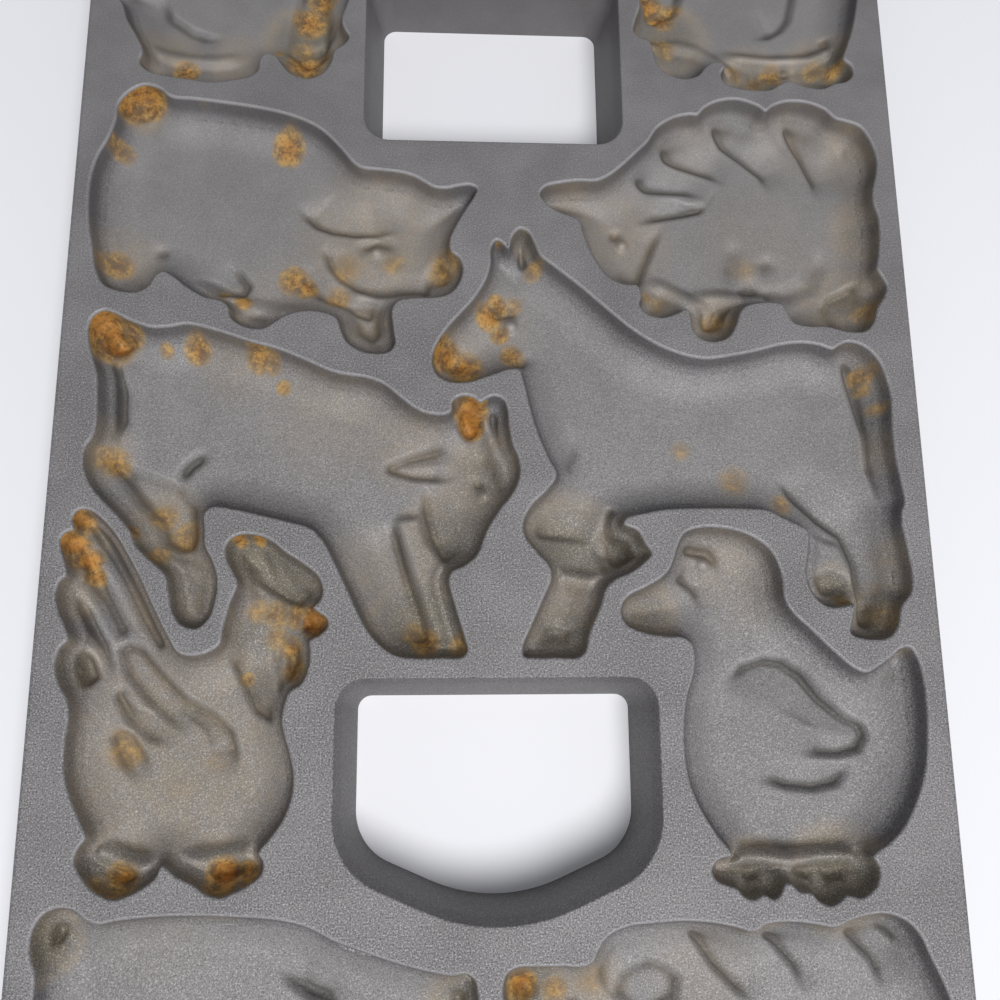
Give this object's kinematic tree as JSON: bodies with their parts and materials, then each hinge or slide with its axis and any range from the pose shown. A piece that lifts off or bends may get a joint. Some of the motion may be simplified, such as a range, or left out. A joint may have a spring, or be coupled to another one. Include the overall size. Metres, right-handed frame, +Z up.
{
  "type": "cast iron cookie mold",
  "caption": "Flat cast iron baking plate with recessed farm animal molds, two hand windows and a skirt to stand on.",
  "frame": {"origin": "centre of the plate's footprint, on the table under the skirt", "axes": "+Z up out of the cavities, +Y along the plate towards the rabbit and turkey, +X across it to the turkey's side"},
  "size_m": [0.2166, 0.368, 0.022],
  "materials": {
    "cast_iron": "rough, as cast"
  },
  "bodies": {
    "root": {"rabbit_mold": "cast_iron", "turkey_mold": "cast_iron", "pig_mold": "cast_iron", "ram_mold": "cast_iron", "goat_mold": "cast_iron", "horse_mold": "cast_iron", "rooster_mold": "cast_iron", "duck_mold": "cast_iron", "calf_mold": "cast_iron", "sheep_mold": "cast_iron", "lower_window_frame": "cast_iron", "upper_window_frame": "cast_iron", "right_skirt": "cast_iron", "left_skirt": "cast_iron", "back_skirt": "cast_iron", "front_skirt": "cast_iron"}
  },
  "joints": []
}
